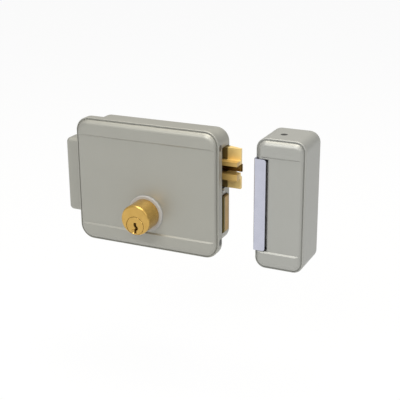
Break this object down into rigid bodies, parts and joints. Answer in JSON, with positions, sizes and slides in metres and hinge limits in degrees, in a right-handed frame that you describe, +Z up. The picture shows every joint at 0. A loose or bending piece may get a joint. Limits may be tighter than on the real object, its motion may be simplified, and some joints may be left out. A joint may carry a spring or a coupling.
{
  "type": "electric gate lock",
  "caption": "Surface-mounted electric rim lock with brass latch, deadbolt and key cylinder, and its separate keeper box with a chrome strike.",
  "frame": {"origin": "centre of the lock's back face, where it lies on the gate", "axes": "+X towards the bolts and the keeper, +Z up, -Y out of the front with the key cylinder"},
  "size_m": [0.2218, 0.0541, 0.105],
  "materials": {
    "case_paint": "satin metallic champagne grey",
    "brass": "satin",
    "bronze": "satin, dark",
    "chrome": "polished",
    "plated_steel": "zinc plated",
    "dark_steel": "oiled, dark",
    "pale_ring": "satin",
    "white_plastic": "moulded",
    "copper_wire": "enamelled copper"
  },
  "bodies": {
    "root": {"case_body": "case_paint", "front_cover": "case_paint", "cover_screws": "dark_steel", "bolt_guard": "plated_steel", "guard_rivets": "plated_steel", "cylinder_body": "brass", "cylinder_ring": "pale_ring", "cylinder_bridge": "plated_steel", "cylinder_screws": "plated_steel", "latch_spring": "plated_steel", "trigger_spring": "plated_steel", "latch_guide": "plated_steel", "bolt_guide": "plated_steel", "solenoid_yoke": "plated_steel", "solenoid_core": "plated_steel", "coil_bobbin": "white_plastic", "coil_winding": "copper_wire", "pawl_pin": "plated_steel", "wiring_cover": "case_paint", "wiring_screw": "dark_steel", "terminal_block": "white_plastic", "terminal_screws": "plated_steel", "keeper_cover": "case_paint", "keeper_striker": "chrome", "striker_rivets": "plated_steel", "keeper_base": "plated_steel", "keeper_screws": "dark_steel"},
    "latch_body": {"latch": "brass"},
    "trigger_body": {"latch_trigger": "bronze"},
    "deadbolt_body": {"deadbolt": "brass"},
    "plug_body": {"key_plug": "brass", "key_cam": "plated_steel"},
    "armature_body": {"armature": "plated_steel"},
    "pawl_body": {"release_pawl": "plated_steel"}
  },
  "joints": [
    {"name": "latch_slide", "type": "slide", "parent": "root", "child": "latch_body", "axis": [1, 0, 0], "range_m": [-0.0135, 0], "stiffness_N_per_m": 120, "deforming": ["latch_spring"]},
    {"name": "trigger_slide", "type": "slide", "parent": "root", "child": "trigger_body", "axis": [1, 0, 0], "range_m": [-0.012, 0], "stiffness_N_per_m": 40, "deforming": ["trigger_spring"]},
    {"name": "key_turn", "type": "hinge", "parent": "root", "child": "plug_body", "pos_m": [0, -0.054, -0.026], "axis": [0, -1, 0], "range_deg": [0, 360]},
    {"name": "bolt_throw", "type": "slide", "parent": "root", "child": "deadbolt_body", "axis": [1, 0, 0], "range_m": [0, 0.02]},
    {"name": "armature_pull", "type": "hinge", "parent": "root", "child": "armature_body", "pos_m": [-0.043, -0.0035, 0.0386], "axis": [1, 0, 0], "range_deg": [0, 5], "stiffness_Nm_per_rad": 0.05, "springref_deg": -2.86},
    {"name": "pawl_lift", "type": "hinge", "parent": "root", "child": "pawl_body", "pos_m": [-0.001, -0.0125, 0.0345], "axis": [0, -1, 0], "range_deg": [0, 3.8]}
  ],
  "couplings": [
    {"joint": "key_turn", "follows": "bolt_throw", "rad_per_m": 314.15},
    {"joint": "pawl_lift", "follows": "armature_pull", "ratio": 0.75}
  ]
}
